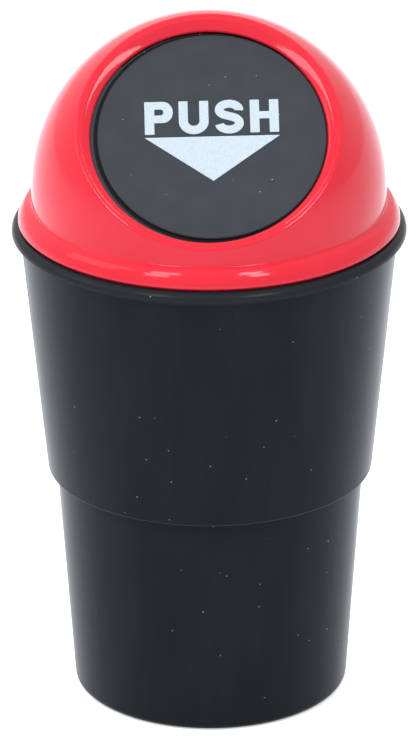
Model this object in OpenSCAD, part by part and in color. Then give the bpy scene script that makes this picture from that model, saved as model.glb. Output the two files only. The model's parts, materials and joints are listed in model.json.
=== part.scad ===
// Car trash bin: a stepped cup that stands in a cup holder, a domed lid pressed into its mouth,
// and a round flap in the dome that swings inward against a torsion spring.
// Millimetres, +Z up, origin at the centre of the base. The flap faces -Y.

/* [Cup] */
// Outer diameter of the rim
rim_d = 90.4; // [82:0.2:104]
// Height of the top of the rim above the ground
cup_h = 114.4; // [96:0.2:140]
// Thickness of the rim, measured along Z
rim_t = 2.2; // [1.6:0.1:4]
// How far the rim stands out of the wall under it
rim_w = 1.95; // [1.5:0.05:2.6]
// How much the body's radius grows from the step to the rim
body_draft = 5.75; // [3:0.05:8]
// Height of the step above the ground
step_z = 54.4; // [40:0.2:70]
// How far the step stands out from the shank
step_w = 2; // [1.6:0.1:3]
// How much the shank's radius grows from the ground to the step
shank_draft = 3.9; // [2:0.1:6]
// Wall thickness of the cup
cup_wall = 1.4; // [1:0.1:2]
// Thickness of the cup's floor
floor_t = 1.6; // [1:0.1:3]
// Rounding between the cup's floor and its wall, inside
floor_round = 2.5; // [1:0.1:5]
// Depth of the hollow under the floor
foot_hollow = 1.2; // [0.5:0.1:3]
// Width of the ring that the cup stands on
foot_w = 2.4; // [1.5:0.1:5]
// Rounding of the edge at the ground
base_round = 1.6; // [1:0.1:3]
// Rounding of the rim's upper edge
rim_round = 1.9; // [0.5:0.1:2]
// Rounding of the step's outer edge
step_round = 0.3; // [0.2:0.1:1]

/* [Lid] */
// Wall thickness of the lid
lid_wall = 1.4; // [1:0.1:1.8]
// Distance from the rim's edge in to the skirt's foot
skirt_in = 1.5; // [1.2:0.05:2]
// Height from the rim to the skirt's upper edge
skirt_h = 4; // [3.4:0.1:6]
// How far the skirt's face leans in from its foot to its upper edge
skirt_flare = 1.55; // [1:0.05:1.8]
// Lean of the skirt's face at its foot
foot_tilt = 5; // [0:1:12]
// Width of the sloping shoulder between the skirt's upper edge and the neck
shoulder_w = 1.6; // [1.2:0.1:2.4]
// Height of the sloping shoulder
shoulder_h = 0.9; // [0.4:0.1:1.2]
// Rounding of the skirt's upper edge
shoulder_round = 0.8; // [0.3:0.1:1.2]
// Hollow fillet between the shoulder and the neck
neck_fillet = 0.4; // [0.2:0.1:0.8]
// Height of the upright neck between the shoulder and the dome
neck_h = 3.1; // [1.6:0.1:10]
// Shadow gap between the skirt's edge and the rim
skirt_gap = 0.5; // [0.2:0.1:1]
// Distance from the cup's inner wall out to the ring that the lid rests on
seat_in = 0.3; // [0.3:0.1:0.5]
// Width of the ring that the lid rests on
seat_w = 0.7; // [0.5:0.1:0.9]
// Depth of the groove between the plug and the skirt
groove_h = 2.2; // [1.5:0.1:2.4]
// How deep the plug reaches into the cup
plug_len = 8; // [5:0.5:20]
// Gap between the plug and the cup's wall
plug_gap = 0.35; // [0.3:0.05:0.5]
// Wall thickness of the plug
plug_wall = 1.3; // [1:0.1:1.6]
// Number of grip ribs round the plug
grip_ribs = 12; // [4:1:24]
// How far a grip rib stands out of the plug
grip_h = 0.25; // [0.1:0.05:0.25]

/* [Opening] */
// Angle of the opening's axis above the horizontal
opening_angle = 48.9; // [45:0.1:55]
// Height of the opening's lowest edge above the middle of the dome
edge_up = 1.04; // [0.5:0.02:2]
// Width of the flat ring round the opening, with its rounded edges
bezel_w = 1.32; // [1.1:0.02:2]
// Rounding of the opening's outer edge
edge_round = 1; // [1:0.1:2]
// Depth of the sloping throat
throat_depth = 2.8; // [2:0.1:3]
// How much wider the throat is at its outer edge, on each side
throat_flare = 1.8; // [1.2:0.1:2.2]
// Rounding of the throat's outer edge
throat_round = 0.4; // [0.2:0.1:0.6]
// Thickness of the lip round the throat
lip_t = 1.3; // [1:0.1:1.6]

/* [Flap] */
// Gap between the flap's face and the opening, all round when centred
flap_gap = 0.9; // [0.8:0.1:1.5]
// Gap left on one side, where the flap has slid along its pin
side_gap = 0.2; // [0.2:0.1:0.8]
// How far the flap's face stands proud of the lip behind it
flap_proud = 0.4; // [0.1:0.1:1]
// Thickness of the flap's plate
flap_t = 1.4; // [1:0.1:2]
// Width of the flange behind the opening's lip
flange_w = 2.2; // [1.5:0.1:2.6]
// Thickness of the flange
flange_t = 1.3; // [1:0.1:2]
// Gap between the flange and the lip
flange_gap = 0.3; // [0.2:0.1:0.6]
// Distance from the pin down to where the flange begins
flange_stop = 6; // [5:0.5:12]
// Rounding of the flap's front edge
flap_round = 0.4; // [0.2:0.1:0.8]
// Length of each stiffening rib below the flap's centre
rib_reach = 12; // [4:1:18]
// Thickness of a stiffening rib
rib_t = 1.2; // [0.8:0.1:2]

/* [Printed arrow] */
// Width of the arrow
arrow_w = 30.4; // [20:0.2:36]
// Height of the arrow
arrow_h = 11.2; // [6:0.2:16]
// Thickness of the printed film
film_t = 0.1; // [0.1:0.05:0.3]
// Sideways place of the arrow on the flap
arrow_x = 0.1; // [-2:0.1:2]
// Turn of the print on the flap
print_turn = 1.3; // [-3:0.1:3]

/* [Hinge] */
// Diameter of the hinge pin
pin_d = 2; // [1.5:0.1:2.5]
// Distance from the opening's wall in to the pin, along the flap
pin_in = 2.7; // [2.4:0.1:3.6]
// Depth of the pin behind the flap's face
pin_deep = 6; // [5.5:0.1:7]
// Thickness of each lug on the dome
lug_t = 2.4; // [1.6:0.1:3.5]
// Material round the pin in the lugs
lug_rim = 1.6; // [1.2:0.1:2]
// Width of each knuckle on the flap
knuckle_w = 4; // [3:0.1:5]
// Material round the pin in the knuckles
knuckle_rim = 1.4; // [1:0.1:1.8]
// Gap left between a knuckle and its lug when the flap has slid to that side
end_gap = 0.3; // [0.2:0.1:0.8]
// How far the pin stands out of each lug
pin_proud = 0.6; // [0.2:0.1:2]
// Gap between the pin and the lugs
pin_fit = 0.05; // [0.03:0.01:0.1]
// Running gap between the pin and the knuckles
pin_play = 0.1; // [0.05:0.01:0.2]

/* [Spring] */
// Diameter of the spring's wire
wire_d = 0.8; // [0.5:0.1:0.9]
// Gap between the coil and the pin
coil_gap = 0.3; // [0.2:0.05:0.6]
// Number of turns
coil_turns = 6; // [4:1:7]
// Gap from turn to turn
turn_gap = 0.2; // [0.15:0.05:0.3]
// Free length of pin between the coil and each knuckle
coil_room = 1.6; // [1.2:0.1:3]
// Length of the leg that lies on the flap
flap_leg = 15; // [8:0.5:20]
// Gap between a leg's end and what it presses on
leg_gap = 0.1; // [0.05:0.05:0.3]

/* [Hidden] */
$fn = 72;

CUP_BLACK = "#20262a";
LID_RED = "#d8203a";
FLAP_GREY = "#4a545c";
PRINT_WHITE = "#e6f0f6";
STEEL = "#b8bcc0";

arc_steps = 6;
spare = 1;
edge_break = 0.3;
rim_edge = 0.15;

// Cup: radii, and the slopes of the two walls as radius gained for each millimetre of height
rim_r = rim_d / 2;
body_r = rim_r - rim_w;
step_r = body_r - body_draft;
shank_r = step_r - step_w;
base_r = shank_r - shank_draft;
rim_under = cup_h - rim_t;
shank_slope = shank_draft / step_z;
body_slope = body_draft / (rim_under - step_z);
shank_shift = cup_wall * sqrt(1 + shank_slope ^ 2);
body_shift = cup_wall * sqrt(1 + body_slope ^ 2);
floor_z = foot_hollow + floor_t;
foot_r = base_r + shank_slope * base_round - base_round * sqrt(1 + shank_slope ^ 2);

// Lid: heights and radii that follow the cup
mouth_r = body_inner_r(rim_under);
skirt_r = rim_r - skirt_in;
edge_r = skirt_r - skirt_flare;
dome_r = edge_r - shoulder_w;
edge_z = cup_h + skirt_h;
neck_z = edge_z + shoulder_h;
dome_z = neck_z + neck_h;
plug_r = mouth_r - plug_gap;
plug_z = cup_h - plug_len;

// Opening: distances along its axis from the centre of the dome, and radii
edge_dist = dome_r * cos(opening_angle - asin(edge_up / dome_r));
ring_r = sqrt(dome_r ^ 2 - edge_dist ^ 2);
opening_r = ring_r - bezel_w - throat_flare;
lip_dist = edge_dist - throat_depth;
face_dist = lip_dist + flap_proud;
plate_dist = face_dist - flap_t;
flange_dist = lip_dist - flange_gap;
face_r = opening_r - flap_gap;
flap_slide = flap_gap - side_gap;
flange_r = face_r + flange_w;

// Hinge and spring
pin_up = opening_r - pin_in;
pin_dist = face_dist - pin_deep;
flange_top = pin_up - flange_stop;
lug_r = pin_d / 2 + lug_rim;
knuckle_r = pin_d / 2 + knuckle_rim;
end_play = flap_slide + end_gap;
coil_len = coil_turns * (wire_d + turn_gap);
knuckle_in = (coil_len + wire_d) / 2 + coil_room;
knuckle_out = knuckle_in + knuckle_w;
lug_in = knuckle_out + end_play;
pin_len = 2 * (lug_in + lug_t + pin_proud);
coil_r = pin_d / 2 + coil_gap + wire_d / 2;
leg_rise = plate_dist - leg_gap - wire_d / 2 - pin_dist;
leg_angle = asin(leg_rise / sqrt(flap_leg ^ 2 + coil_r ^ 2)) - atan(coil_r / flap_leg);
wire_sides = 8;
turn_steps = 16;

// Points along an arc from angle a to angle b, or from a later step on
function arc(centre, r, a, b, first = 0) =
    [for (i = [first:arc_steps]) centre + r * toward(a + (b - a) * i / arc_steps)];

// A step of length 1 at an angle
function toward(a) = [cos(a), sin(a)];

// Radii of the cup's walls at a height
function shank_outer_r(z) = base_r + shank_slope * z;
function body_outer_r(z) = step_r + body_slope * (z - step_z);
function body_inner_r(z) = body_outer_r(z) - body_shift;

// The opening's own frame: X across the flap, Y up along it, Z outward
module at_opening() {
    translate([0, 0, dome_z]) rotate([90 - opening_angle, 0, 0]) children();
}

// Copies on both sides of the flap's middle
module both_sides() {
    children();
    mirror([1, 0, 0]) children();
}

// A slab standing across X, drawn as an outline of (up, out) points, from x0 to x1
module slab(x0, x1) {
    translate([x0, 0, 0]) rotate([90, 0, 90]) linear_extrude(height = x1 - x0) children();
}

// Cup

module cup() {
    shank_tilt = atan(shank_slope);
    body_tilt = atan(body_slope);
    ledge_z = step_z + cup_wall;
    step_cx = step_r + body_slope * step_round - step_round * sqrt(1 + body_slope ^ 2);
    shank_in = shank_outer_r(ledge_z) - shank_shift;
    floor_in = shank_outer_r(floor_z) - shank_shift;
    top_round = min(rim_round, rim_t - 2 * rim_edge, rim_r - mouth_r - 2 * edge_break);
    color(CUP_BLACK) rotate_extrude() polygon(concat(
        [[0, foot_hollow], [foot_r - foot_w - foot_hollow / 2, foot_hollow], [foot_r - foot_w, 0]],
        arc([foot_r, base_round], base_round, -90, -shank_tilt),
        [[shank_r, step_z]],
        arc([step_cx, step_z + step_round], step_round, -90, -body_tilt),
        [[body_r, rim_under], [rim_r - rim_edge, rim_under], [rim_r, rim_under + rim_edge]],
        arc([rim_r - top_round, cup_h - top_round], top_round, 0, 90),
        [[mouth_r + edge_break, cup_h], [mouth_r, cup_h - edge_break], [mouth_r, rim_under]],
        [[body_inner_r(ledge_z), ledge_z], [shank_in, ledge_z]],
        arc([floor_in - floor_round, floor_z + floor_round], floor_round, 0, -90),
        [[0, floor_z]]
    ));
}

// Lid

// What the flat and its rounded edge take off a ball of radius r, turned about the opening's axis
module edge_cut(r, flat_dist, edge) {
    inside = 0.01;
    across = sqrt((r - edge) ^ 2 - (flat_dist - edge) ^ 2);
    turn = atan2(flat_dist - edge, across);
    rotate_extrude() polygon(concat(
        [[0, flat_dist]],
        arc([across, flat_dist - edge], edge - inside, 90, turn),
        [1.5 * r * toward(turn), [0, 2 * r]]
    ));
}

// What the sloping throat takes out of the dome, with its rounded outer edge
module throat() {
    slope = throat_flare / throat_depth;
    wall_angle = atan2(throat_depth, throat_flare);
    round_x = opening_r + throat_flare + throat_round * tan(wall_angle / 2);
    rotate_extrude() polygon(concat(
        [[0, lip_dist - spare], [opening_r - slope * spare, lip_dist - spare]],
        arc([round_x, edge_dist - throat_round], throat_round, 90 + wall_angle, 90),
        [[round_x, edge_dist + spare], [0, edge_dist + spare]]
    ));
}

// The lip hangs inward from the opening's edge, before the throat is cut
module lip() {
    mid = edge_dist - lid_wall / 2;
    rotate_extrude() polygon([
        [opening_r - spare, lip_dist],
        [opening_r + lip_t, lip_dist],
        [opening_r + throat_flare + lip_t, mid],
        [opening_r - spare, mid]
    ]);
}

// The lugs reach from the pin into the middle of the dome's wall
module hinge_lugs() {
    inset = lid_wall / 2;
    front_angle = 105;
    back_angle = -50;
    lug_front = 1;
    plate_clear = 0.5;
    root_front = 2;
    hub = [pin_up, pin_dist];
    difference() {
        intersection() {
            both_sides() slab(lug_in, lug_in + lug_t) {
                translate(hub) circle(r = lug_r);
                polygon([
                    hub + lug_r * toward(front_angle),
                    [pin_up + lug_front, plate_dist - plate_clear],
                    [pin_up + lug_front, dome_r],
                    [dome_r, dome_r],
                    [dome_r, pin_dist + root_front],
                    hub + lug_r * toward(back_angle)
                ]);
            }
            sphere(r = dome_r - inset);
        }
        edge_cut(dome_r - inset, edge_dist - inset, max(edge_round - inset, 0.1));
    }
}

// Quarter of a round section above the middle of the dome
module dome_section(r) {
    translate([0, dome_z]) intersection() {
        circle(r = r);
        square([r + spare, r + spare]);
    }
}

// Half section of the skirt's face, its upper edge, the shoulder and the neck's fillet, going up
function skirt_line() =
    let (
        low = [skirt_r, cup_h + skirt_gap + edge_break],
        top = [edge_r, edge_z],
        lean = atan2(low[0] - top[0], top[1] - low[1]),
        bow_r = norm(top - low) / (2 * sin(lean - foot_tilt)),
        centre = low - bow_r * toward(foot_tilt),
        slope = atan2(shoulder_h, shoulder_w),
        inner = top - shoulder_round * toward(90 - slope),
        along = (inner - centre) * toward(180 - slope),
        reach = along ^ 2 - norm(inner - centre) ^ 2 + (bow_r - shoulder_round) ^ 2,
        edge = inner - (along + sqrt(max(reach, 0))) * toward(180 - slope),
        turn = atan2(edge[1] - centre[1], edge[0] - centre[0]),
        fillet = [dome_r + neck_fillet, neck_z + neck_fillet / tan((90 + slope) / 2)]
    )
    concat(
        arc(centre, bow_r, foot_tilt, turn),
        arc(edge, shoulder_round, turn, 90 - slope, 1),
        arc(fillet, neck_fillet, -90 - slope, -180)
    );

// The lid's outside: plug, groove, seat, skirt, shoulder, neck and dome
module lid_outside() {
    lead_in = 0.5;
    low_r = body_inner_r(plug_z) - plug_gap;
    groove_r = mouth_r + seat_in;
    rotate_extrude() {
        polygon(concat(
            [[0, plug_z], [low_r - lead_in, plug_z], [low_r + body_slope * lead_in, plug_z + lead_in]],
            [[plug_r, rim_under], [plug_r, cup_h + groove_h], [groove_r, cup_h + groove_h]],
            [[groove_r, cup_h], [groove_r + seat_w, cup_h], [groove_r + seat_w, cup_h + skirt_gap]],
            [[skirt_r - edge_break, cup_h + skirt_gap]],
            skirt_line(),
            [[dome_r, dome_z], [0, dome_z]]
        ));
        dome_section(dome_r);
    }
}

// The hollow inside the lid
module lid_inside() {
    inner_edge = max(edge_round - lid_wall, 0.3);
    low_r = body_inner_r(plug_z) - plug_gap - plug_wall;
    neck_in = dome_r - lid_wall;
    difference() {
        rotate_extrude() {
            polygon([
                [0, plug_z - spare],
                [low_r, plug_z - spare],
                [low_r, plug_z],
                [plug_r - plug_wall, cup_h],
                [neck_in, neck_z - lid_wall],
                [neck_in, dome_z],
                [0, dome_z]
            ]);
            dome_section(neck_in);
        }
        at_opening() edge_cut(neck_in, edge_dist - lid_wall, inner_edge);
    }
}

// A low rib down the plug's outside, with a sloping lower end, drawn at the back
module grip_rib() {
    rib_w = 1;
    end_gap = 1;
    low_z = plug_z + end_gap;
    high_z = rim_under - end_gap;
    low_r = body_inner_r(low_z) - plug_gap;
    high_r = body_inner_r(high_z) - plug_gap;
    slab(-rib_w / 2, rib_w / 2) polygon([
        [low_r - plug_wall / 2, low_z],
        [low_r, low_z],
        [low_r + body_slope * end_gap + grip_h, low_z + end_gap],
        [high_r + grip_h, high_z],
        [high_r - plug_wall / 2, high_z]
    ]);
}

module dome_lid() {
    color(LID_RED) {
        difference() {
            union() {
                difference() {
                    lid_outside();
                    at_opening() edge_cut(dome_r, edge_dist, edge_round);
                    lid_inside();
                }
                at_opening() lip();
                at_opening() hinge_lugs();
            }
            at_opening() throat();
            at_opening() translate([-dome_r / 2, pin_up, pin_dist]) rotate([0, 90, 0])
                cylinder(r = pin_d / 2 + pin_fit, h = dome_r);
        }
        for (i = [0:grip_ribs - 1]) rotate([0, 0, 360 * (i + 0.5) / grip_ribs]) grip_rib();
    }
}

// Flap, drawn centred and then slid sideways to where it lies

module flap_disc() {
    rotate_extrude() polygon(concat(
        [[0, plate_dist], [face_r, plate_dist]],
        arc([face_r - flap_round, face_dist - flap_round], flap_round, 0, 90),
        [[0, face_dist]]
    ));
}

module flap_flange() {
    overlap = 1.6;
    low = flange_dist - flange_t;
    difference() {
        rotate_extrude() polygon(concat(
            [[face_r - overlap, low], [flange_r, low]],
            arc([flange_r - edge_break, flange_dist - edge_break], edge_break, 0, 90),
            [[face_r - overlap, flange_dist]]
        ));
        translate([-flange_r - spare, flange_top, low - spare])
            cube([2 * (flange_r + spare), flange_r, flange_t + 2 * spare]);
    }
}

// Knuckle with its short arm, and the rib that carries on from it down the flap
module flap_arm() {
    foot = plate_dist + flap_t / 2;
    front_angle = 30;
    back_angle = 200;
    arm_front = 1;
    arm_drop = 7;
    rib_overlap = 2;
    rib_low_h = 0.6;
    rib_high_h = 2.2;
    hub = [pin_up, pin_dist];
    mid = knuckle_in + knuckle_w / 2;
    rib_top = pin_up - arm_drop + rib_overlap;
    slab(knuckle_in, knuckle_out) difference() {
        union() {
            translate(hub) circle(r = knuckle_r);
            polygon([
                hub + knuckle_r * toward(front_angle),
                [pin_up - arm_front, foot],
                [pin_up - arm_drop, foot],
                hub + knuckle_r * toward(back_angle)
            ]);
        }
        translate(hub) circle(r = pin_d / 2 + pin_play);
    }
    slab(mid - rib_t / 2, mid + rib_t / 2) polygon([
        [rib_top, foot],
        [-rib_reach, foot],
        [-rib_reach, plate_dist - rib_low_h],
        [rib_top, plate_dist - rib_high_h]
    ]);
}

module flap() {
    color(FLAP_GREY) at_opening() translate([flap_slide, 0, 0]) {
        flap_disc();
        flap_flange();
        both_sides() flap_arm();
    }
}

module arrow_print() {
    drop = 0.2;
    color(PRINT_WHITE) at_opening() translate([flap_slide + arrow_x, -drop, face_dist])
        rotate([0, 0, print_turn]) linear_extrude(height = film_t)
            polygon([[-arrow_w / 2, 0], [0, -arrow_h], [arrow_w / 2, 0]]);
}

// Hinge

module hinge_pin() {
    color(STEEL) at_opening() translate([-pin_len / 2, pin_up, pin_dist]) rotate([0, 90, 0])
        cylinder(d = pin_d, h = pin_len);
}

// Centre line of the spring: dome leg, coil, flap leg, in the opening's frame
function coil_point(turn) =
    let (a = 90 + turn * (360 * coil_turns - leg_angle))
    [-coil_len / 2 + coil_len * turn, pin_up + coil_r * cos(a), pin_dist + coil_r * sin(a)];

function spring_line() =
    let (
        n = coil_turns * turn_steps,
        leg_dist = pin_dist + coil_r,
        dome_in = dome_r - lid_wall - leg_gap,
        tip = sqrt(dome_in ^ 2 - (leg_dist + wire_d / 2) ^ 2 - (coil_len / 2) ^ 2),
        last = coil_point(1)
    )
    concat(
        [[-coil_len / 2, tip, leg_dist]],
        [for (i = [0:n]) coil_point(i / n)],
        [last + flap_leg * [0, -cos(leg_angle), sin(leg_angle)]]
    );

function unit(v) = v / norm(v);

// A round wire swept along points that never run along X
module wire(line) {
    n = len(line);
    rings = [for (i = [0:n - 1])
        let (
            along = unit(line[min(i + 1, n - 1)] - line[max(i - 1, 0)]),
            side = unit(cross(along, [1, 0, 0])),
            up = cross(side, along)
        )
        for (k = [0:wire_sides - 1])
            line[i] + wire_d / 2 * (cos(360 * k / wire_sides) * side + sin(360 * k / wire_sides) * up)];
    skin = [for (i = [0:n - 2]) for (k = [0:wire_sides - 1])
        let (k2 = (k + 1) % wire_sides, a = i * wire_sides, b = (i + 1) * wire_sides)
        [a + k, a + k2, b + k2, b + k]];
    cap_a = [for (k = [wire_sides - 1:-1:0]) k];
    cap_b = [for (k = [0:wire_sides - 1]) (n - 1) * wire_sides + k];
    polyhedron(points = rings, faces = concat(skin, [cap_a], [cap_b]));
}

module return_spring() {
    color(STEEL) at_opening() wire(spring_line());
}

cup();
dome_lid();
flap();
arrow_print();
hinge_pin();
return_spring();
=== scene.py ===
import json
import math

import bpy
from mathutils import Matrix, Vector
from mathutils.geometry import tessellate_polygon


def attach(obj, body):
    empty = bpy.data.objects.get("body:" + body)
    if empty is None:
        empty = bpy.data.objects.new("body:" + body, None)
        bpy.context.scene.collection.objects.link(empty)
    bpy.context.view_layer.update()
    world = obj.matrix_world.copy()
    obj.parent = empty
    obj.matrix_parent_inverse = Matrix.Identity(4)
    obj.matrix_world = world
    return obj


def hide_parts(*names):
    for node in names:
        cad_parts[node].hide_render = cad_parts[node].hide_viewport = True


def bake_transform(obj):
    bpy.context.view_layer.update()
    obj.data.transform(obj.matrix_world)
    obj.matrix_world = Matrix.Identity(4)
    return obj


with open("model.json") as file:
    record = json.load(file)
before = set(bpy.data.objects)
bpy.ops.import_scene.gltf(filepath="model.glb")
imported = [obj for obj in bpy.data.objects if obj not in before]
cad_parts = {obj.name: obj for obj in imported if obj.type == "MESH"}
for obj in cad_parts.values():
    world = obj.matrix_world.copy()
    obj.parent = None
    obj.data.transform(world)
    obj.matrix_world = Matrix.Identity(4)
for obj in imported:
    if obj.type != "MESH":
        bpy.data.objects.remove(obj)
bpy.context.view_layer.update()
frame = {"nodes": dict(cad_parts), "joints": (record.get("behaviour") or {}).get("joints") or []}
print("frame loaded:", ", ".join(sorted(frame["nodes"])))

mm = 0.001
scene = bpy.context.scene
nodes = frame["nodes"]
flapJoint = [j for j in frame["joints"] if j["name"] == "flap_swing"][0]

# As in the CAD: the dome's middle and the flap's side play, in millimetres, and the lean of the
# opening, with the two directions up along its plane and out of it
domeMiddle = 122.4
flapSlide = 0.7
faceTilt = math.radians(48.9)
upDirection = Vector((0, math.sin(faceTilt), math.cos(faceTilt)))
outDirection = Vector((0, -math.cos(faceTilt), math.sin(faceTilt)))

# Camera, at the photograph's distance, height and lens

cameraSettings = {
    "distance": 1423 * mm,
    "height": 687.4 * mm,
    "pitchDown": 0.405,  # radians
    "sideStep": -0.16 * mm,
    "roll": math.radians(-0.23),
    "focalPixels": 6714.7,
    "pictureHeight": 737,
    "sensor": 36,
    "clipStart": 0.05,
    "clipEnd": 40,
}


def makeCamera(settings):
    data = bpy.data.cameras.new("camera")
    camera = bpy.data.objects.new("camera", data)
    scene.collection.objects.link(camera)
    data.sensor_fit = "VERTICAL"
    data.sensor_height = settings["sensor"]
    data.lens = settings["focalPixels"] * settings["sensor"] / settings["pictureHeight"]
    data.clip_start = settings["clipStart"]
    data.clip_end = settings["clipEnd"]
    camera.location = (settings["sideStep"], -settings["distance"], settings["height"])
    aim = Matrix.Rotation(math.pi / 2 - settings["pitchDown"], 4, "X")
    camera.rotation_euler = (aim @ Matrix.Rotation(settings["roll"], 4, "Z")).to_euler()
    scene.camera = camera
    print("camera: lens", round(data.lens, 1), "mm")


makeCamera(cameraSettings)

# Node helpers


def startMaterial(name):
    material = bpy.data.materials.new(name)
    material.use_nodes = True
    tree = material.node_tree
    return material, tree, tree.nodes["Principled BSDF"]


def addNode(tree, kind, inputs=None, **settings):
    node = tree.nodes.new(kind)
    for key, value in settings.items():
        setattr(node, key, value)
    for key, value in (inputs or {}).items():
        if isinstance(value, bpy.types.NodeSocket):
            tree.links.new(value, node.inputs[key])
        else:
            node.inputs[key].default_value = value
    return node


def mathNode(tree, operation, a, b=0.0):
    return addNode(tree, "ShaderNodeMath", {0: a, 1: b}, operation=operation).outputs[0]


def vectorNode(tree, operation, a, b, output="Vector"):
    node = addNode(tree, "ShaderNodeVectorMath", {0: a, 1: b}, operation=operation)
    return node.outputs[output]


def mixColour(tree, factor, a, b):
    return addNode(tree, "ShaderNodeMix", {0: factor, 6: a, 7: b}, data_type="RGBA").outputs[2]


def mixNumber(tree, factor, a, b):
    return addNode(tree, "ShaderNodeMix", {0: factor, 2: a, 3: b}, data_type="FLOAT").outputs[0]


def remap(tree, value, low, high, toLow, toHigh):
    settings = {
        "Value": value, "From Min": low, "From Max": high, "To Min": toLow, "To Max": toHigh,
    }
    return addNode(tree, "ShaderNodeMapRange", settings).outputs["Result"]


def surfacePoint(tree, stretch=(1, 1, 1)):
    point = addNode(tree, "ShaderNodeTexCoord").outputs["Object"]
    if stretch == (1, 1, 1):
        return point
    return addNode(tree, "ShaderNodeMapping", {"Vector": point, "Scale": stretch}).outputs[0]


def noiseNode(tree, point, size, detail=2.0):
    settings = {"Vector": point, "Scale": 1 / size, "Detail": detail}
    return addNode(tree, "ShaderNodeTexNoise", settings).outputs["Fac"]


# The part of a noise's range over which one look turns into the other
colourTurn = (0.35, 0.65)
roughTurn = (0.3, 0.7)


def cloudColour(tree, cloud, first, second, turn=colourTurn):
    return mixColour(tree, remap(tree, cloud, *turn, 0.0, 1.0), first, second)


def varyRoughness(tree, shader, noise, first, second):
    rough = remap(tree, noise, *roughTurn, first, second)
    tree.links.new(rough, shader.inputs["Roughness"])


# Dust: one small dot in a few of the cells, 1 inside the dot and 0 outside
def speckMask(tree, point, spacing, radius, share):
    core = 0.6 * radius
    cells = addNode(tree, "ShaderNodeTexVoronoi", {"Vector": point, "Scale": 1 / spacing})
    near = remap(tree, cells.outputs["Distance"], radius / spacing, core / spacing, 0.0, 1.0)
    pick = addNode(tree, "ShaderNodeSeparateColor", {"Color": cells.outputs["Color"]}).outputs[0]
    return mathNode(tree, "MULTIPLY", near, mathNode(tree, "LESS_THAN", pick, share))


def bumpNode(tree, shader, height, depth):
    bump = addNode(tree, "ShaderNodeBump", {"Height": height, "Distance": depth, "Strength": 1.0})
    tree.links.new(bump.outputs["Normal"], shader.inputs["Normal"])


# Moulded plastics

plasticIor = 1.5

lidPlastic = {
    "red": (0.800, 0.020, 0.041, 1),
    "deepRed": (0.745, 0.015, 0.032, 1),
    "cloudSize": 30 * mm,
    "smooth": 0.055,
    "dull": 0.11,
    "wipeSize": 6 * mm,
    "wipeStretch": (1, 1, 4),
    "shine": 0.27,
    "rippleSize": 1.6 * mm,
    "rippleDepth": 0.004 * mm,
}


def makeLidPlastic(look):
    material, tree, shader = startMaterial("lidPlastic")
    point = surfacePoint(tree)
    cloud = noiseNode(tree, point, look["cloudSize"], detail=3.0)
    colour = cloudColour(tree, cloud, look["deepRed"], look["red"])
    tree.links.new(colour, shader.inputs["Base Color"])
    wipe = noiseNode(tree, surfacePoint(tree, look["wipeStretch"]), look["wipeSize"], detail=4.0)
    varyRoughness(tree, shader, wipe, look["smooth"], look["dull"])
    shader.inputs["IOR"].default_value = plasticIor
    shader.inputs["Specular IOR Level"].default_value = look["shine"]
    bumpNode(tree, shader, noiseNode(tree, point, look["rippleSize"]), look["rippleDepth"])
    return material


cupPlastic = {
    "black": (0.0060, 0.0088, 0.0105, 1),
    "worn": (0.0085, 0.0118, 0.0140, 1),
    "cloudSize": 9 * mm,
    "cloudStretch": (1, 1, 0.25),
    "smooth": 0.22,
    "dull": 0.29,
    "shine": 0.08,
    # painted light: a paler colour on the rim, for the light that it catches
    "rimPaintedLight": (0.016, 0.018, 0.021, 1),
    "rimFrom": 110.8 * mm,  # painted light: the rim is painted paler from this height up
    "rimFade": 0.4 * mm,
    "rimGloss": 0.23,
    "edgeHighlightColour": (0.034, 0.039, 0.043, 1),
    "edgeHighlightHeight": 54.55 * mm,  # height of a painted highlight: a thin paler line on the step's edge
    "edgeHighlightHalf": 0.22 * mm,
    "dust": (0.42, 0.46, 0.48, 1),
    "dustSpacing": 3.6 * mm,
    "dustSize": 0.15 * mm,
    "dustShare": 0.65,
    "grainSize": 0.5 * mm,
    "grainDepth": 0.003 * mm,
}


def makeCupPlastic(look):
    material, tree, shader = startMaterial("cupPlastic")
    point = surfacePoint(tree)
    cloudPoint = surfacePoint(tree, look["cloudStretch"])
    cloud = noiseNode(tree, cloudPoint, look["cloudSize"], detail=3.0)
    body = cloudColour(tree, cloud, look["black"], look["worn"])
    height = addNode(tree, "ShaderNodeSeparateXYZ", {"Vector": point}).outputs["Z"]
    # Painted highlight: a thin paler line along the step's edge
    offEdgeHighlight = mathNode(tree, "ABSOLUTE", mathNode(tree, "SUBTRACT", height, look["edgeHighlightHeight"]))
    onEdgeHighlight = remap(tree, offEdgeHighlight, 0.0, look["edgeHighlightHalf"], 1.0, 0.0)
    body = mixColour(tree, onEdgeHighlight, body, look["edgeHighlightColour"])
    # Painted light: the rim is mixed to a paler colour from its height up
    onRim = remap(tree, height, look["rimFrom"], look["rimFrom"] + look["rimFade"], 0.0, 1.0)
    body = mixColour(tree, onRim, body, look["rimPaintedLight"])
    dust = speckMask(tree, point, look["dustSpacing"], look["dustSize"], look["dustShare"])
    tree.links.new(mixColour(tree, dust, body, look["dust"]), shader.inputs["Base Color"])
    wallGloss = remap(tree, cloud, *roughTurn, look["smooth"], look["dull"])
    gloss = mixNumber(tree, onRim, wallGloss, look["rimGloss"])
    tree.links.new(gloss, shader.inputs["Roughness"])
    shader.inputs["Specular IOR Level"].default_value = look["shine"]
    shader.inputs["IOR"].default_value = plasticIor
    bumpNode(tree, shader, noiseNode(tree, point, look["grainSize"]), look["grainDepth"])
    return material


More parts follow.
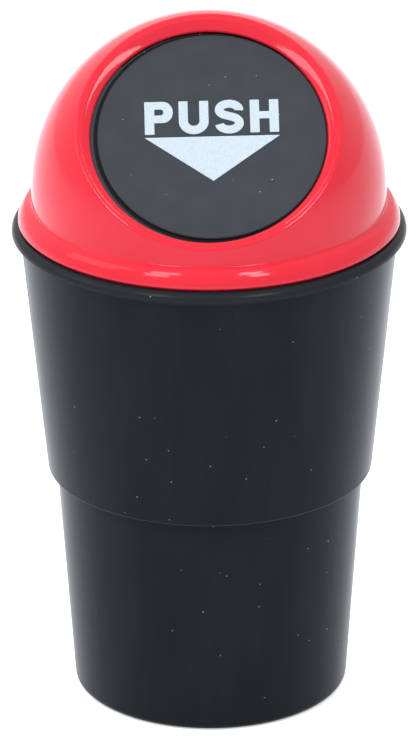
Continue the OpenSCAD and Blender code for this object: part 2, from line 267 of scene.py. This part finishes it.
flapPlastic = {
    "grey": (0.0385, 0.0435, 0.0500, 1),
    "pale": (0.0425, 0.0480, 0.0545, 1),
    "cloudSize": 5 * mm,
    "roughness": 0.5,
    "roughSpread": 0.06,
    "shine": 0.12,
    "shade": (0.003, 0.0035, 0.004, 1),  # dark band painted round the face, for the gap's shadow
    "shadeFrom": 25.83 * mm,
    "shadeStep": 0.02 * mm,
    "shadeTo": 26.65 * mm,
    "shadeFade": 0.1 * mm,
    "dust": (0.45, 0.48, 0.50, 1),
    "dustSpacing": 2.6 * mm,
    "dustSize": 0.15 * mm,
    "dustShare": 0.6,
    "grainSize": 0.35 * mm,
    "grainDepth": 0.012 * mm,
}


# Distance from the axis through the middle of the flap's face
def faceRadius(tree, point):
    moved = vectorNode(tree, "SUBTRACT", point, (flapSlide * mm, 0, domeMiddle * mm))
    upward = vectorNode(tree, "DOT_PRODUCT", moved, upDirection, "Value")
    across = vectorNode(tree, "DOT_PRODUCT", moved, (1, 0, 0), "Value")
    acrossSquare = mathNode(tree, "MULTIPLY", across, across)
    upwardSquare = mathNode(tree, "MULTIPLY", upward, upward)
    return mathNode(tree, "SQRT", mathNode(tree, "ADD", acrossSquare, upwardSquare))


def makeFlapPlastic(look):
    material, tree, shader = startMaterial("flapPlastic")
    point = surfacePoint(tree)
    cloud = noiseNode(tree, point, look["cloudSize"], detail=3.0)
    body = cloudColour(tree, cloud, look["grey"], look["pale"])
    radius = faceRadius(tree, point)
    shadeFrom, shadeTo, fade = look["shadeFrom"], look["shadeTo"], look["shadeFade"]
    inner = remap(tree, radius, shadeFrom, shadeFrom + look["shadeStep"], 0.0, 1.0)
    outer = remap(tree, radius, shadeTo - fade, shadeTo + fade, 1.0, 0.0)
    body = mixColour(tree, mathNode(tree, "MULTIPLY", inner, outer), body, look["shade"])
    dust = speckMask(tree, point, look["dustSpacing"], look["dustSize"], look["dustShare"])
    tree.links.new(mixColour(tree, dust, body, look["dust"]), shader.inputs["Base Color"])
    shader.inputs["Specular IOR Level"].default_value = look["shine"]
    grain = noiseNode(tree, point, look["grainSize"])
    rough, spread = look["roughness"], look["roughSpread"]
    varyRoughness(tree, shader, grain, rough - spread, rough + spread)
    bumpNode(tree, shader, grain, look["grainDepth"])
    return material


# Printed ink

printInk = {
    "white": (0.537, 0.600, 0.633, 1),
    "thin": (0.472, 0.537, 0.580, 1),
    "coverTurn": (0.35, 0.6),
    "roughness": 0.5,
    "roughSpread": 0.08,
    "screenSize": 0.45 * mm,
    "screenDepth": 0.006 * mm,
}


def makePrintInk(look):
    material, tree, shader = startMaterial("printInk")
    cover = noiseNode(tree, surfacePoint(tree), look["screenSize"], detail=3.0)
    colour = cloudColour(tree, cover, look["thin"], look["white"], look["coverTurn"])
    tree.links.new(colour, shader.inputs["Base Color"])
    rough, spread = look["roughness"], look["roughSpread"]
    varyRoughness(tree, shader, cover, rough + spread, rough - spread)
    bumpNode(tree, shader, cover, look["screenDepth"])
    return material


# Steel wire: fine lines along the drawing direction

wireSteel = {
    "bright": (0.62, 0.63, 0.65, 1),
    "dark": (0.42, 0.43, 0.45, 1),
    "roughness": 0.28,
    "smoother": 0.07,
    "rougher": 0.10,
    "lineSize": 0.25 * mm,
    "lineDepth": 0.004 * mm,
    "pinStretch": (0.05, 1, 1),
    "springStretch": (1, 1, 1),
}


def makeWireSteel(name, look, stretch):
    material, tree, shader = startMaterial(name)
    lines = noiseNode(tree, surfacePoint(tree, stretch), look["lineSize"], detail=3.0)
    colour = cloudColour(tree, lines, look["dark"], look["bright"])
    tree.links.new(colour, shader.inputs["Base Color"])
    shader.inputs["Metallic"].default_value = 1
    rough = look["roughness"]
    varyRoughness(tree, shader, lines, rough - look["smoother"], rough + look["rougher"])
    bumpNode(tree, shader, lines, look["lineDepth"])
    return material


def giveMaterial(obj, material):
    for slot in obj.material_slots:
        slot.material = material
    if not obj.material_slots:
        obj.data.materials.append(material)


inkMaterial = makePrintInk(printInk)
lidMaterial = makeLidPlastic(lidPlastic)
flapMaterial = makeFlapPlastic(flapPlastic)
giveMaterial(nodes["dome_lid"], lidMaterial)
giveMaterial(nodes["cup"], makeCupPlastic(cupPlastic))
giveMaterial(nodes["flap"], flapMaterial)
giveMaterial(nodes["arrow_print"], inkMaterial)
giveMaterial(nodes["hinge_pin"], makeWireSteel("pinSteel", wireSteel, wireSteel["pinStretch"]))
print("materials on the moulded pieces")

# Mesh helpers


def meshPiece(name, spots, faces, material):
    mesh = bpy.data.meshes.new(name)
    mesh.from_pydata(spots, [], faces)
    mesh.materials.append(material)
    piece = bpy.data.objects.new(name, mesh)
    scene.collection.objects.link(piece)
    return piece


def smoothPiece(name, spots, faces, material, body, sharpAngle):
    piece = meshPiece(name, spots, faces, material)
    piece.data.shade_smooth()
    piece.data.set_sharp_from_angle(angle=math.radians(sharpAngle))
    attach(piece, body)
    return piece


# Lettering, in millimetres from the middle of the arrow's upper edge

lettering = {
    "baseline": 0.80,
    "height": 8.28,
    "starts": {"P": -15.12, "U": -7.42, "S": 0.65, "H": 8.6},
    "corner": 0.12,
    "cornerSteps": 3,
    "cornerShare": 0.4,
    "nearlyStraight": math.radians(150),  # wider corners than this stay as they are
    "arcSteps": 8,
    "filmDepth": 0.1,
}


def arcPoints(centre, radii, start, stop, steps):
    points = []
    for i in range(steps + 1):
        angle = math.radians(start + (stop - start) * i / steps)
        points.append(
            (centre[0] + radii[0] * math.cos(angle), centre[1] + radii[1] * math.sin(angle))
        )
    return points


# An outline with a small rounding at each of its corners
def softCorners(points, look):
    soft = []
    share, steps = look["cornerShare"], look["cornerSteps"]
    for i, corner in enumerate(points):
        middle = Vector(corner)
        before = Vector(points[i - 1]) - middle
        after = Vector(points[(i + 1) % len(points)]) - middle
        reach = min(look["corner"], share * before.length, share * after.length)
        if before.angle(after) > look["nearlyStraight"]:
            soft.append(tuple(corner))
            continue
        start = middle + before.normalized() * reach
        stop = middle + after.normalized() * reach
        for k in range(steps + 1):
            t = k / steps
            soft.append(tuple(start * (1 - t) ** 2 + middle * 2 * t * (1 - t) + stop * t ** 2))
    return soft


shapeP = {
    "stem": 2.15,
    "right": 6.38,
    "bowFoot": 2.92,
    "bowTurn": 4.15,
    "holeFoot": 4.83,
    "holeTop": 6.35,
    "holeRight": 4.25,
    "holeRound": 0.9,
    "holeInset": 0.05,
}


def letterP(look, shape):
    top, steps = look["height"], look["arcSteps"]
    stem, low, turn = shape["stem"], shape["bowFoot"], shape["bowTurn"]
    middle, half = (top + low) / 2, (top - low) / 2
    outer = [(0, 0), (stem, 0), (stem, low)]
    outer += arcPoints((turn, middle), (shape["right"] - turn, half), -90, 90, 2 * steps)
    outer.append((0, top))
    holeFoot, holeTop = shape["holeFoot"], shape["holeTop"]
    radius = (holeTop - holeFoot) / 2 * shape["holeRound"]
    end, left = shape["holeRight"] - radius, stem + shape["holeInset"]
    hole = [(left, holeTop)]
    hole += arcPoints((end, holeTop - radius), (radius, radius), 90, 0, steps)
    hole += arcPoints((end, holeFoot + radius), (radius, radius), 0, -90, steps)[1:]
    hole.append((left, holeFoot))
    return [softCorners(outer, look), hole]


shapeU = {
    "width": 6.7,
    "arm": 2.05,
    "floor": 2.0,
    "footTurn": 3.1,
    "footRound": 3.2,
    "insideRound": 1.25,
}


def letterU(look, shape):
    top, steps = look["height"], look["arcSteps"]
    width, arm, bend = shape["width"], shape["arm"], shape["insideRound"]
    half = width / 2
    foot = arcPoints((half, shape["footTurn"]), (half, shape["footRound"]), 180, 360, 3 * steps)
    inside = arcPoints((half, shape["floor"] + bend), (half - arm, bend), 0, -180, 2 * steps)
    outline = [(0, top)] + foot + [(width, top), (width - arm, top)] + inside + [(arm, top)]
    return [softCorners(outline, look)]


shapeS = {
    "half": 1.0,
    "upperMiddle": (3.27, 5.92),
    "upperRadii": (2.2, 1.5),
    "upperArc": (-8, 250),
    "lowerMiddle": (3.27, 2.5),
    "lowerRadii": (2.25, 1.65),
    "lowerArc": (70, -172),
    "bowSteps": 30,
}


# The letter's two bows as one band of even width
def letterS(look, shape):
    line = []
    for bow in ("upper", "lower"):
        middle, radii, arc = shape[bow + "Middle"], shape[bow + "Radii"], shape[bow + "Arc"]
        line += arcPoints(middle, radii, *arc, shape["bowSteps"])
    left, right = [], []
    for i, point in enumerate(line):
        a, b = Vector(line[max(i - 1, 0)]), Vector(line[min(i + 1, len(line) - 1)])
        along = (b - a).normalized()
        side = Vector((-along.y, along.x)) * shape["half"]
        left.append(tuple(Vector(point) + side))
        right.append(tuple(Vector(point) - side))
    return [softCorners(left + right[::-1], look)]


shapeH = {
    "width": 6.46,
    "stem": 2.1,
    "barFoot": 3.5,
    "barTop": 5.3,
}


def letterH(look, shape):
    top, width, stem = look["height"], shape["width"], shape["stem"]
    low, high, inner = shape["barFoot"], shape["barTop"], width - stem
    outline = [
        (0, 0), (stem, 0), (stem, low), (inner, low), (inner, 0), (width, 0),
        (width, top), (inner, top), (inner, high), (stem, high), (stem, top), (0, top),
    ]
    return [softCorners(outline, look)]


# The print's own frame: its origin and its two directions in the flap's face
def printFrame(node):
    corners = [node.matrix_world @ v.co for v in node.data.vertices]
    left = min(corners, key=lambda c: c.x)
    right = max(corners, key=lambda c: c.x)
    across = right - left
    across = (across - outDirection * across.dot(outDirection)).normalized()
    front = max(c.dot(outDirection) for c in corners)
    middle = (left + right) / 2
    origin = middle + outDirection * (front - middle.dot(outDirection))
    return origin, across, outDirection.cross(across)


def makeLetter(name, outlines, left, look, place, material):
    origin, across, up = place
    flat = [point for outline in outlines for point in outline]
    spots = []
    for x, y in flat:
        spots.append(origin + across * ((x + left) * mm) + up * ((y + look["baseline"]) * mm))
    triangles = tessellate_polygon([[Vector((x, y, 0)) for x, y in line] for line in outlines])
    depth = outDirection * (look["filmDepth"] * mm)
    count = len(flat)
    faces = []
    for a, b, c in triangles:
        normal = (spots[b] - spots[a]).cross(spots[c] - spots[a])
        faces.append((a, b, c) if normal.dot(outDirection) > 0 else (a, c, b))
    first = 0
    for outline in outlines:
        for i in range(len(outline)):
            a, b = first + i, first + (i + 1) % len(outline)
            faces.append((a, a + count, b + count, b))
        first += len(outline)
    letter = meshPiece(name, spots + [s - depth for s in spots], faces, material)
    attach(letter, "flap")


place = printFrame(nodes["arrow_print"])
outlines = {
    "P": letterP(lettering, shapeP),
    "U": letterU(lettering, shapeU),
    "S": letterS(lettering, shapeS),
    "H": letterH(lettering, shapeH),
}
for name, left in lettering["starts"].items():
    makeLetter("letter" + name, outlines[name], left, lettering, place, inkMaterial)
print("lettering on the flap")

# The opening's rolled edge and the flap's upper rim, in millimetres about the opening's axis.
# The bead's points are given outward from the throat's upper end and up from the skin's top,
# each with the tilt of its normal; tilts are in degrees towards the axis.

openingShape = {
    "edgeDist": 27.4315,
    "openRadius": 26.7433,
    "lipDist": 24.6315,
    "flapRadius": 25.8433,
    "ringSteps": 160,
    "ringSharp": 180,
    "flare": 1.8,
    "outerRound": 0.4,
    "roundSteps": 4,
    "skin": 0.035,
    "bead": ((0.28, -0.08, -9), (0.20, -0.01, -4), (0.15, 0, -17), (0.06, 0, -17), (0, 0, 2)),
    "dishShares": (0.15, 0.3, 0.45, 0.6, 0.75, 0.84),
    "dishTilt": (6, 26),
    "lipShares": (0.86, 1.0),
    "lipTilt": 66,
    "innerEnd": (0.6, 0.4),
    "outerEnd": (0.1, -0.6),
    "hiddenTilt": 180,
    "rimGap": 0.24,
    "rimUnder": 0.4,
    "rimFrom": 0.3,
    "rimDepth": 0.8,
    "rimHalfAngle": 47,
    "rimSteps": 48,
    "rimSharp": 35,
}


def openingPoint(across, up, out):
    place = Vector((0, 0, domeMiddle)) + outDirection * out + upDirection * up
    return (place + Vector((across, 0, 0))) * mm


# Half section of a thin skin on the moulded throat: a fine bead outside, then the sloping wall,
# and its last stretch by the lip. Each point is a radius, a distance out and the tilt of its
# normal. The normals shade the straight wall as a shallow dish with a steep lip.
def rolledEdgeLine(look):
    edge, skin = look["edgeDist"], look["skin"]
    top = edge + skin
    wall = math.atan2(edge - look["lipDist"], look["flare"])
    foot = look["openRadius"] + look["flare"] + look["outerRound"] * math.tan(wall / 2)
    line = [(foot + outward, top + rise, tilt) for outward, rise, tilt in look["bead"]]
    first, last = look["dishTilt"]
    radius = look["outerRound"] + skin
    for i in range(1, look["roundSteps"] + 1):
        angle = math.pi / 2 + wall * i / look["roundSteps"]
        height = edge - look["outerRound"] + radius * math.sin(angle)
        line.append((foot + radius * math.cos(angle), height, first))
    start = Vector(line[-1][:2])
    end = Vector((look["openRadius"], look["lipDist"]))
    end += Vector((-math.sin(wall), math.cos(wall))) * skin
    dishEnd = look["dishShares"][-1]
    tilts = [(t, first + (last - first) * t / dishEnd) for t in look["dishShares"]]
    tilts += [(t, look["lipTilt"]) for t in look["lipShares"]]
    for t, tilt in tilts:
        spot = start.lerp(end, t)
        line.append((spot.x, spot.y, tilt))
    inner, outer, hidden = look["innerEnd"], look["outerEnd"], look["hiddenTilt"]
    line.append((look["openRadius"] + inner[0], look["lipDist"] + inner[1], hidden))
    line.append((foot + outer[0], edge + outer[1], hidden))
    return line


def makeRolledEdge(look, material):
    line = rolledEdgeLine(look)
    spots, faces, normals = [], [], []
    around, count = look["ringSteps"], len(line)
    for i in range(around):
        turn = 2 * math.pi * i / around
        sine, cosine = math.sin(turn), math.cos(turn)
        towards = Vector((sine, 0, 0)) + upDirection * cosine
        for radius, height, tilt in line:
            spots.append(openingPoint(radius * sine, radius * cosine, height))
            lean = math.radians(tilt)
            normals.append(outDirection * math.cos(lean) - towards * math.sin(lean))
    for i in range(around):
        a, b = i * count, (i + 1) % around * count
        for k in range(count):
            k2 = (k + 1) % count
            faces.append((a + k2, b + k2, b + k, a + k))
    sharp = look["ringSharp"]
    piece = smoothPiece("rolledEdge", spots, faces, material, "lid", sharp)
    piece.data.normals_split_custom_set_from_vertices(normals)


# A thin crescent that closes the gap over the flap's upper edge
def makeFlapRim(look, material):
    top = look["lipDist"] - look["rimFrom"]
    low = top - look["rimDepth"]
    outer = look["openRadius"] - look["rimGap"]
    inner = look["flapRadius"] - look["rimUnder"]
    spots, faces = [], []
    steps = look["rimSteps"]
    for i in range(steps + 1):
        turn = math.radians(look["rimHalfAngle"] * (2 * i / steps - 1))
        sine, cosine = math.sin(turn), math.cos(turn)
        for radius, shift in ((inner, flapSlide), (outer, 0)):
            for height in (low, top):
                spots.append(openingPoint(shift + radius * sine, radius * cosine, height))
    for i in range(steps):
        a, b = 4 * i, 4 * i + 4
        faces += [(a, b, b + 1, a + 1), (a + 1, b + 1, b + 3, a + 3)]
        faces += [(a + 3, b + 3, b + 2, a + 2), (a + 2, b + 2, b, a)]
    last = 4 * steps
    faces += [(0, 1, 3, 2), (last, last + 2, last + 3, last + 1)]
    smoothPiece("flapRim", spots, faces, material, "flap", look["rimSharp"])


makeRolledEdge(openingShape, lidMaterial)
makeFlapRim(openingShape, flapMaterial)
print("rolled edge of the opening and the flap's upper rim")

# Torsion spring, drawn along the CAD spring's own line with a round wire

springShape = {
    "wire": 0.8 * mm,
    "turns": 6,
    "coilHalf": 3.0 * mm,
    "sides": 12,
    "turnSteps": 24,
    "legSteps": 10,
    "endReach": 0.4,  # in wire thicknesses, how near a point lies to a leg's end
}


# Ends of the CAD spring's legs, as distances along the flap and out of it from the pin
def legEnds(look, node):
    pin = Vector(flapJoint["pos_m"])
    spots = [(node.matrix_world @ v.co) - pin for v in node.data.vertices]
    high = max(s.dot(upDirection) for s in spots)
    low = min(s.dot(upDirection) for s in spots)
    reach = look["endReach"] * look["wire"]
    ends = []
    for level in (high, low):
        ring = [s for s in spots if abs(s.dot(upDirection) - level) < reach]
        along = sum(s.dot(upDirection) for s in ring) / len(ring)
        ends.append((along, sum(s.dot(outDirection) for s in ring) / len(ring)))
    return pin, ends


def springLine(look, ends):
    (domeUp, radius), (flapUp, flapOut) = ends
    half, legSteps = look["coilHalf"], look["legSteps"]
    leg = math.sqrt(math.hypot(flapUp, flapOut) ** 2 - radius ** 2)
    tilt = math.atan2(radius, -leg) - math.atan2(flapOut, flapUp)
    points = [Vector((-half, domeUp * (1 - i / legSteps), radius)) for i in range(legSteps)]
    total = look["turns"] * look["turnSteps"]
    for i in range(total + 1):
        t = i / total
        angle = math.pi / 2 + t * (2 * math.pi * look["turns"] - tilt)
        across = half * (2 * t - 1)
        points.append(Vector((across, radius * math.cos(angle), radius * math.sin(angle))))
    last = points[-1].copy()
    for i in range(1, legSteps + 1):
        step = leg * i / legSteps
        points.append(last + Vector((0, -math.cos(tilt), math.sin(tilt))) * step)
    return points


def makeSpring(look, node, material):
    pin, ends = legEnds(look, node)
    line = springLine(look, ends)
    sides, final = look["sides"], len(line) - 1
    rings, faces = [], []
    for i, point in enumerate(line):
        along = (line[min(i + 1, final)] - line[max(i - 1, 0)]).normalized()
        side = along.cross(Vector((1, 0, 0))).normalized()
        lift = side.cross(along)
        for k in range(sides):
            turn = 2 * math.pi * k / sides
            spot = point + (side * math.cos(turn) + lift * math.sin(turn)) * (look["wire"] / 2)
            place = pin + Vector((spot.x, 0, 0)) + upDirection * spot.y + outDirection * spot.z
            rings.append(place)
    for i in range(final):
        for k in range(sides):
            a, b = i * sides + k, i * sides + (k + 1) % sides
            faces.append((a, b, b + sides, a + sides))
    faces.append(tuple(range(sides - 1, -1, -1)))
    faces.append(tuple(range(final * sides, len(line) * sides)))
    spring = meshPiece("roundSpring", rings, faces, material)
    spring.data.shade_smooth()
    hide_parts(node.name)
    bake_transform(spring)


springMaterial = makeWireSteel("springSteel", wireSteel, wireSteel["springStretch"])
makeSpring(springShape, nodes["return_spring"], springMaterial)
print("torsion spring")

# Floor and surroundings

studio = {
    "floorColour": (0.90, 0.90, 0.90, 1),
    "floorPaler": 1.02,
    "floorCloud": 0.4,
    "floorSize": 8,
    "floorDrop": 0.05 * mm,
    "floorRoughness": 0.8,
    "floorShine": 0.1,
    "whiteLift": 0.45,
    "roomColour": (0.86, 0.96, 1.08, 1),
    "frontLevel": 0.36,
    "backLevel": 1.05,
    "frontToBack": (-0.6, 0.5),
    "topLevel": 1.10,
    "sidesToTop": (0.30, 1.0),
    "leftShare": 1.05,
    "rightShare": 0.22,
    "leftToRight": (-0.8, 0.8),
}
white = (1, 1, 1, 1)


# Rays that show the background: to the camera, and in gloss and glass
def backgroundRays(tree):
    rays = addNode(tree, "ShaderNodeLightPath").outputs
    shown = mathNode(tree, "MAXIMUM", rays["Is Camera Ray"], rays["Is Glossy Ray"])
    return mathNode(tree, "MAXIMUM", shown, rays["Is Transmission Ray"])


# One plain pale floor, the same to the camera and in reflections
def makeFloor(look):
    material, tree, shader = startMaterial("paleFloor")
    grain = noiseNode(tree, surfacePoint(tree), look["floorCloud"])
    base = look["floorColour"]
    paler = tuple(min(1, c * look["floorPaler"]) for c in base[:3]) + (1,)
    tree.links.new(mixColour(tree, grain, base, paler), shader.inputs["Base Color"])
    shader.inputs["Roughness"].default_value = look["floorRoughness"]
    shader.inputs["Specular IOR Level"].default_value = look["floorShine"]
    shader.inputs["Emission Color"].default_value = white
    lift = mathNode(tree, "MULTIPLY", backgroundRays(tree), look["whiteLift"])
    tree.links.new(lift, shader.inputs["Emission Strength"])
    half = look["floorSize"] / 2
    corners = [(-half, -half, 0), (half, -half, 0), (half, half, 0), (-half, half, 0)]
    floor = meshPiece("floor", corners, [(0, 1, 2, 3)], material)
    floor.location.z = -look["floorDrop"]


# Plain white to the camera, in gloss and in glass. Only the soft light that the room gives is
# uneven: weaker from the camera's side and from the right, strongest from overhead.
def makeWorld(look):
    world = bpy.data.worlds.new("studio")
    scene.world = world
    world.use_nodes = True
    tree = world.node_tree
    background = tree.nodes["Background"]
    direction = addNode(tree, "ShaderNodeTexCoord").outputs["Generated"]
    parts = addNode(tree, "ShaderNodeSeparateXYZ", {"Vector": direction}).outputs
    level = remap(tree, parts["Y"], *look["frontToBack"], look["frontLevel"], look["backLevel"])
    overhead = remap(tree, parts["Z"], *look["sidesToTop"], 0.0, look["topLevel"])
    share = remap(tree, parts["X"], *look["leftToRight"], look["leftShare"], look["rightShare"])
    level = mathNode(tree, "ADD", mathNode(tree, "MULTIPLY", level, share), overhead)
    shown = backgroundRays(tree)
    tree.links.new(mixNumber(tree, shown, level, 1.0), background.inputs["Strength"])
    colour = mixColour(tree, shown, look["roomColour"], white)
    tree.links.new(colour, background.inputs["Color"])


makeFloor(studio)
makeWorld(studio)

# Two softboxes in front, left and right of the camera, and a weak one on the left side

softboxes = {
    "left": {"azimuth": -37, "elevation": 53, "width": 0.31, "height": 0.84, "power": 5.9},
    "right": {"azimuth": 35, "elevation": 53, "width": 0.24, "height": 0.84, "power": 6.6},
    "side": {"azimuth": -84, "elevation": 42, "width": 0.80, "height": 0.80, "power": 3.0},
}
softboxDistance = 1.5
softboxAim = Vector((0, 0, 0.1))


def makeSoftbox(name, look):
    data = bpy.data.lights.new(name, "AREA")
    data.shape = "RECTANGLE"
    data.size = look["width"]
    data.size_y = look["height"]
    data.energy = look["power"]
    lamp = bpy.data.objects.new(name, data)
    scene.collection.objects.link(lamp)
    turn, lift = math.radians(look["azimuth"]), math.radians(look["elevation"])
    level = math.cos(lift)
    towards = Vector((math.sin(turn) * level, -math.cos(turn) * level, math.sin(lift)))
    lamp.location = softboxAim + towards * softboxDistance
    lamp.rotation_euler = towards.to_track_quat("Z", "Y").to_euler()


for side, look in softboxes.items():
    makeSoftbox(side + "Softbox", look)
scene.view_settings.view_transform = "Standard"
print("floor, room and softboxes")
